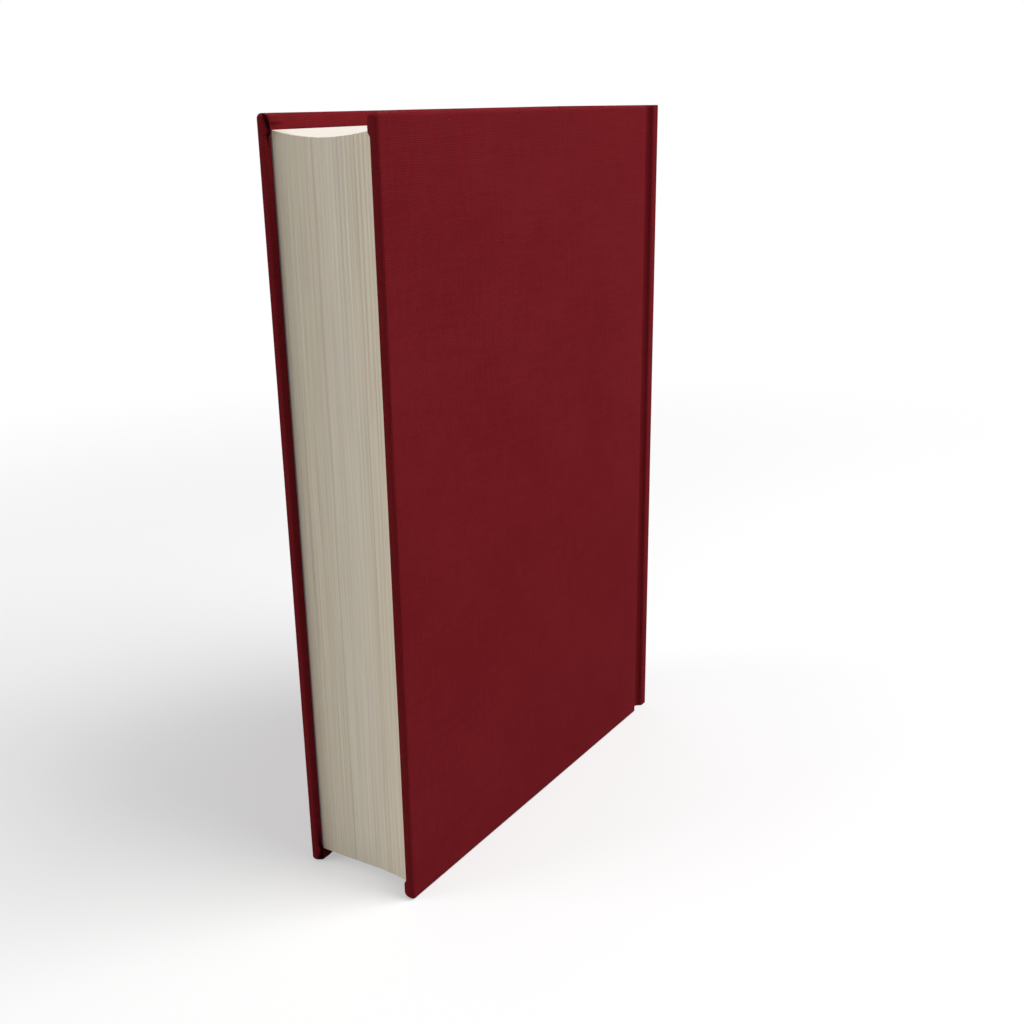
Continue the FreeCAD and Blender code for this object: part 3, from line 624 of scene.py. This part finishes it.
def turn(bm, edges, centre, angle, steps):
    """Draws an outline round an upright axis; a positive angle turns left."""
    geometry = edges + list({v for e in edges for v in e.verts})
    spun = bmesh.ops.spin(
        bm, geom=geometry, cent=(*centre, 0), axis=(0, 0, 1), dvec=(0, 0, 0), angle=angle, steps=steps
    )
    return [item for item in spun["geom_last"] if isinstance(item, bmesh.types.BMEdge)]


def close_ends(bm):
    """Closes the open ends of a sheet and turns its faces outwards."""
    bmesh.ops.holes_fill(bm, edges=[e for e in bm.edges if e.is_boundary], sides=0)
    bmesh.ops.recalc_face_normals(bm, faces=bm.faces)


bend_reach = bend_x - groove_x + TIP_ROUND
joint_turn = math.acos((bend_x - joint_tip_x + TIP_ROUND) / bend_reach)
tip_start_y = bend_y + bend_reach * math.sin(joint_turn)


def across_joint(bm, edges):
    """Takes a sheet from the groove out along the shoulder of the leaves to the spine."""
    edges = turn(bm, edges, (bend_x, bend_y), -joint_turn, 12)
    edges = turn(bm, edges, (joint_tip_x - TIP_ROUND, tip_start_y), joint_turn, 8)
    push(bm, edges, JOINT_TIP_Y - tip_start_y, 3)
    close_ends(bm)


strip = bmesh.new()
edges = sheet_outline(strip, groove_x, board_edge_y - STRIP_OVERLAP, -1, joint_thickness)
edges = push(strip, edges, bend_y - board_edge_y + STRIP_OVERLAP, 3)
across_joint(strip, edges)
cut_stations(strip, 2, heights)

strip_mesh = bpy.data.meshes.new("joint_strip")
strip.to_mesh(strip_mesh)
strip.free()


def facing_side(bm, side):
    """The back cover's mesh as it is, or mirrored for the front cover."""
    if side < 0:
        bmesh.ops.scale(bm, vec=(-1, 1, 1), verts=bm.verts)
        bmesh.ops.reverse_faces(bm, faces=bm.faces)
    return bm


def bend_at_joint(piece, side):
    """Bakes the piece's place into its mesh, alike for both covers."""
    if side < 0:
        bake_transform(piece)
    else:
        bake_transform(piece)


for side, cover, pleats in ((-1, "front", (0.66, 0.52)), (1, "back", (0.86, 0.84))):
    bm = cloth_round_board(pleats)
    bm.from_mesh(strip_mesh)
    soften(bm, 0.05 * MM, 4.0 + side)
    mark_wear(bm, near_edge_wear)
    lay_cloth_map(bm)
    piece = new_mesh(f"{cover}_cover_cloth", facing_side(bm, side), book_cloth)
    bend_at_joint(piece, side)
    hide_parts(f"{cover}_cloth")
bpy.data.meshes.remove(strip_mesh)

# Pastedowns
# The other half of each black endpaper, pasted down inside the cover over the turned-in
# cloth and the gauze, whose edges show through it as low steps.
mull_low_z, mull_high_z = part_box("spine_mull")[0].z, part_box("spine_mull")[1].z
flange_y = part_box("back_mull_flange")[0].y
PASTED_LOW = 1.0 * MM
paper = bmesh.new()
edges = sheet_outline(paper, turn_in_x, fore_y, -1, ENDPAPER, tail_z, head_z, segments=4)
across_joint(paper, push(paper, edges, bend_y - fore_y, 100))
PAPER_STEP, STEP_WIDTH = 1.6 * MM, 1.2 * MM
paper_rows = round((head_z - tail_z) / PAPER_STEP)
cut_stations(paper, 2, [tail_z + i * PAPER_STEP for i in range(1, paper_rows)])
for vert in paper.verts:
    y, z = vert.co.y, vert.co.z
    from_end = min(z, case_height - z)
    from_mull = min(z - mull_low_z, mull_high_z - z)
    on_board = smooth_step(y - cover_fore_y, TURN_IN_DEPTH, TURN_IN_DEPTH + STEP_WIDTH)
    on_board *= smooth_step(from_end, TURN_IN_DEPTH, TURN_IN_DEPTH + STEP_WIDTH)
    on_board *= 1 - smooth_step(y, board_edge_y - 2 * STEP_WIDTH, board_edge_y - STEP_WIDTH)
    on_mull = smooth_step(y, flange_y - STEP_WIDTH, flange_y) * smooth_step(from_mull, -STEP_WIDTH, 0)
    vert.co.x += on_board * (1 - on_mull * 0.85) * (cloth - 0.02 * MM)
    skew = PASTED_LOW * max(0.0, JOINT_TIP_Y - y) / (JOINT_TIP_Y - fore_y)
    vert.co.z -= skew * (z - tail_z) / (head_z - tail_z)
soften(paper, 0.02 * MM, 8.0)
for side, cover in ((-1, "front"), (1, "back")):
    piece = new_mesh(f"{cover}_pasted_endpaper", facing_side(paper.copy(), side), black_paper)
    bend_at_joint(piece, side)
    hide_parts(f"{cover}_pastedown")
paper.free()

# Spine
# The same cloth over a strip of card, rounded with the back and turned in at both ends.
# It isn't pasted to the leaves, so the back is hollow.
spine_outer_y = cad_box[1].y
outer_radius = back_radius + spine_outer_y - crown_y
inlay_under_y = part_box("spine_inlay")[1].y - 0.8 * MM
spine_thickness = spine_outer_y - inlay_under_y + cloth
SHOULDER_ROUND, CLOTH_ALONE = 1.2 * MM, 0.4 * MM
corner_x = joint_tip_x - SHOULDER_ROUND
corner_y = back_centre_y + math.sqrt((outer_radius - SHOULDER_ROUND) ** 2 - corner_x**2)
half_back = math.asin(corner_x / (outer_radius - SHOULDER_ROUND))
spine = bmesh.new()
edges = sheet_outline(spine, -joint_tip_x, JOINT_TIP_Y, 1, joint_thickness)
edges = push(spine, edges, corner_y - JOINT_TIP_Y, 2)
edges = turn(spine, edges, (-corner_x, corner_y), half_back - math.pi / 2, 8)
edges = turn(spine, edges, (0, back_centre_y), -2 * half_back, 48)
edges = turn(spine, edges, (corner_x, corner_y), half_back - math.pi / 2, 8)
push(spine, edges, JOINT_TIP_Y - corner_y, 2)
close_ends(spine)
cut_stations(spine, 2, heights)
for vert in spine.verts:
    outward = Vector((vert.co.x, vert.co.y - back_centre_y, 0))
    from_corner = (half_back - abs(math.atan2(outward.x, outward.y))) * outer_radius
    end = min(vert.co.z, case_height - vert.co.z)
    turned_in = 1 - smooth_step(end, TURN_IN_DEPTH, TURN_IN_DEPTH + 1 * MM)
    full_depth = CLOTH_ALONE + (spine_thickness - CLOTH_ALONE) * turned_in
    growth = smooth_step(from_corner, -0.4 * MM, 0.6 * MM) * (full_depth / joint_thickness - 1)
    depth = max(0.0, outer_radius - outward.length)
    vert.co -= outward.normalized() * depth * growth
soften(spine, 0.03 * MM, 4.0)


def spine_wear(point):
    """The spine is rubbed a little at its two ends and along its shoulders."""
    end = 1 - smooth_step(min(point.z, case_height - point.z), 0.1 * MM, 1.0 * MM)
    shoulder = smooth_step(abs(point.x), joint_tip_x - 1.6 * MM, joint_tip_x - 0.2 * MM)
    return end * 0.35 + shoulder * 0.1


mark_wear(spine, spine_wear)
lay_cloth_map(spine)
spine_piece = new_mesh("spine_cloth_rounded", spine, book_cloth)
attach(spine_piece, "book_block")
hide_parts("spine_cloth")

# Head and tail bands
# A cord wound with dark red thread, on a tape that is glued to the back of the leaves.
band_silk, maker, shader = start_material("red_band_thread", 0.5)
place = maker.node("ShaderNodeTexCoord", "Object")
wound = maker.node("ShaderNodeAttribute", "Fac", {"attribute_name": "wound"})
strands = vector(wound * 6.0, place.part(1) * 900.0, place.part(2) * 900.0).noise(1.0, 2.0, 0.5)
thread_red = strands.ramp(0.3, 0.7).blend_into(colour(86, 14, 22), colour(140, 34, 42))
bump = maker.node("ShaderNodeBump", 0, Strength=0.4, Distance=0.00008, Height=strands)
feed(maker, shader, Base_Color=thread_red, Normal=bump)
TURNS_OF_THREAD, THREAD_GROOVE, BEAD_RADIUS, TAPE = 78, 0.13, 0.88 * MM, 0.4 * MM


def sheet_over_back(bm, thickness, low, high, angle):
    """A sheet bent over the rounded back of the leaves."""
    near = back_centre_y + back_radius + 0.1 * MM
    edges = sheet_outline(bm, 0, 0, 1, thickness, low, high, segments=4)
    start = Matrix.Rotation(angle / 2, 4, "Z") @ Matrix.Translation((0, near - back_centre_y, 0))
    start = Matrix.Translation((0, back_centre_y, 0)) @ start @ Matrix.Rotation(math.pi / 2, 4, "Z")
    bmesh.ops.transform(bm, matrix=start, verts=bm.verts)
    turn(bm, edges, (0, back_centre_y), -angle, 40)
    close_ends(bm)


for end, rim_z, away in (("head", head_z, 1), ("tail", tail_z, -1)):
    box_low, box_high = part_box(f"{end}_band")
    bead_y = box_high.y - BEAD_RADIUS
    bead_z = rim_z + away * (0.06 * MM + BEAD_RADIUS)
    band_angle = 2 * math.asin(box_high.x / (back_radius + TAPE))
    bm = bmesh.new()
    ring = bmesh.ops.create_circle(bm, segments=14, radius=BEAD_RADIUS)["verts"]
    bmesh.ops.rotate(bm, cent=(0, 0, 0), matrix=Matrix.Rotation(math.pi / 2, 3, "Y"), verts=ring)
    bmesh.ops.translate(bm, vec=(0, bead_y, bead_z), verts=ring)
    swing = Matrix.Rotation(band_angle / 2, 3, "Z")
    bmesh.ops.rotate(bm, cent=(0, back_centre_y, 0), matrix=swing, verts=ring)
    ring_edges = bm.edges[:]
    bmesh.ops.spin(
        bm, geom=ring_edges + ring, cent=(0, back_centre_y, 0), axis=(0, 0, -1), dvec=(0, 0, 0),
        angle=band_angle, steps=TURNS_OF_THREAD * 4,
    )
    wound_layer = bm.verts.layers.float.new("wound")
    for vert in bm.verts:
        bearing = math.atan2(vert.co.x, vert.co.y - back_centre_y)
        count = (bearing / band_angle + 0.5) * TURNS_OF_THREAD
        centre = Vector((math.sin(bearing), math.cos(bearing), 0)) * (bead_y - back_centre_y)
        centre += Vector((0, back_centre_y, bead_z))
        swell = 1 - THREAD_GROOVE * (1 - abs(math.sin(math.pi * count)))
        vert[wound_layer] = math.floor(count)
        vert.co = centre + (vert.co - centre) * swell
    bmesh.ops.holes_fill(bm, edges=[e for e in bm.edges if e.is_boundary], sides=0)
    tape = bmesh.new()
    tape_low, tape_high = sorted((bead_z, box_low.z if end == "head" else box_high.z))
    sheet_over_back(tape, TAPE * 0.8, tape_low, tape_high, band_angle)
    scrap = bpy.data.meshes.new("band_tape")
    tape.to_mesh(scrap)
    tape.free()
    bm.from_mesh(scrap)
    bpy.data.meshes.remove(scrap)
    bmesh.ops.recalc_face_normals(bm, faces=bm.faces)
    band = new_mesh(f"{end}_band_wound", bm, band_silk)
    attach(band, "book_block")
    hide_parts(f"{end}_band")

# Gauze
# Open cotton mull, glued over the back of the leaves and out onto each board.
gauze, maker, shader = start_material("cotton_mull", 0.85)
place = maker.node("ShaderNodeTexCoord", "Object")
MULL_PITCH = 1.1 * MM
mesh_across = ((place.part(1) + place.part(0)) / MULL_PITCH).fract() > 0.45
mesh_up = (place.part(2) / MULL_PITCH).fract() > 0.45
threads = mesh_across.math("MAXIMUM", mesh_across, mesh_up)
feed(maker, shader, Base_Color=threads.blend_into(colour(122, 110, 92), colour(205, 198, 182)))
bm = bmesh.new()
mull_angle = 2 * math.asin((back_x - 0.4 * MM) / back_radius)
sheet_over_back(bm, 0.26 * MM, mull_low_z, mull_high_z, mull_angle)
mull = new_mesh("back_gauze", bm, gauze)
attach(mull, "book_block")
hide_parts("spine_mull")

# Card, board and lining inside the case
# Grey board in each cover, grey card in the spine, and brown paper over the gauze.
def fibre_board(name, dark, pale, scale):
    made, maker, shader = start_material(name, 0.88)
    place = maker.node("ShaderNodeTexCoord", "Object")
    flecks = place.noise(scale, 4.0, 0.7)
    bump = maker.node("ShaderNodeBump", 0, Strength=0.4, Distance=0.0001, Height=flecks)
    feed(maker, shader, Base_Color=flecks.ramp(0.3, 0.7).blend_into(dark, pale), Normal=bump)
    return made


def cover_node(name, material):
    """Gives a CAD node that stays its finished material."""
    mesh = nodes[name].data
    mesh.materials.clear()
    mesh.materials.append(material)


greyboard = fibre_board("greyboard", colour(120, 116, 108), colour(165, 160, 150), 700.0)
lining_paper = fibre_board("brown_lining", colour(140, 112, 84), colour(176, 146, 112), 900.0)
for name, material in (
    ("front_board", greyboard), ("back_board", greyboard), ("spine_inlay", greyboard),
    ("spine_lining", lining_paper), ("front_mull_flange", gauze), ("back_mull_flange", gauze),
):
    cover_node(name, material)

# Floor
# A pale floor that runs out to the white surroundings and keeps the book's shadow.
FLOOR_RADIUS = 3.0
white, maker, shader = start_material("pale_floor", 0.9)
tree = white.node_tree
place = maker.node("ShaderNodeTexCoord", "Object")


def rays_that_are_seen(maker):
    """1 for the rays that the camera sees, also by reflection and through glass, else 0."""
    seen, *others = [
        maker.node("ShaderNodeLightPath", name)
        for name in ("Is Camera Ray", "Is Glossy Ray", "Is Transmission Ray")
    ]
    for other in others:
        seen = seen.math("MAXIMUM", seen, other)
    return seen


seen = rays_that_are_seen(maker)
away = place.node("ShaderNodeVectorMath", 1, {"operation": "LENGTH"}, in_0=place)
bare = maker.node("ShaderNodeEmission", 0, Color=(1, 1, 1, 1), Strength=1.0)
SEEN_PALE, LIGHTING_GREY = (0.97, 0.97, 0.97, 1), (0.35, 0.35, 0.35, 1)
floor_colour = seen.blend_into(LIGHTING_GREY, SEEN_PALE)
feed(maker, shader, Base_Color=floor_colour)
lit = Socket(tree, shader.outputs[0])
far = away.ramp(0.25, 0.75, 0.4, 1.0) * seen
mixed = maker.node("ShaderNodeMixShader", 0, in_0=far, in_1=lit, in_2=bare)
tree.links.new(mixed.socket, tree.nodes["Material Output"].inputs["Surface"])
bm = bmesh.new()
bmesh.ops.create_circle(bm, cap_ends=True, segments=96, radius=FLOOR_RADIUS)
floor = new_mesh("floor", bm, white)

world = bpy.data.worlds.new("surroundings")
scene.world = world
world.use_nodes = True
maker = Socket(world.node_tree, None)
AMBIENT = 0.25
glow = rays_that_are_seen(maker) * (1 - AMBIENT) + AMBIENT
world.node_tree.links.new(glow.socket, world.node_tree.nodes["Background"].inputs["Strength"])
world.node_tree.nodes["Background"].inputs["Color"].default_value = (1, 1, 1, 1)
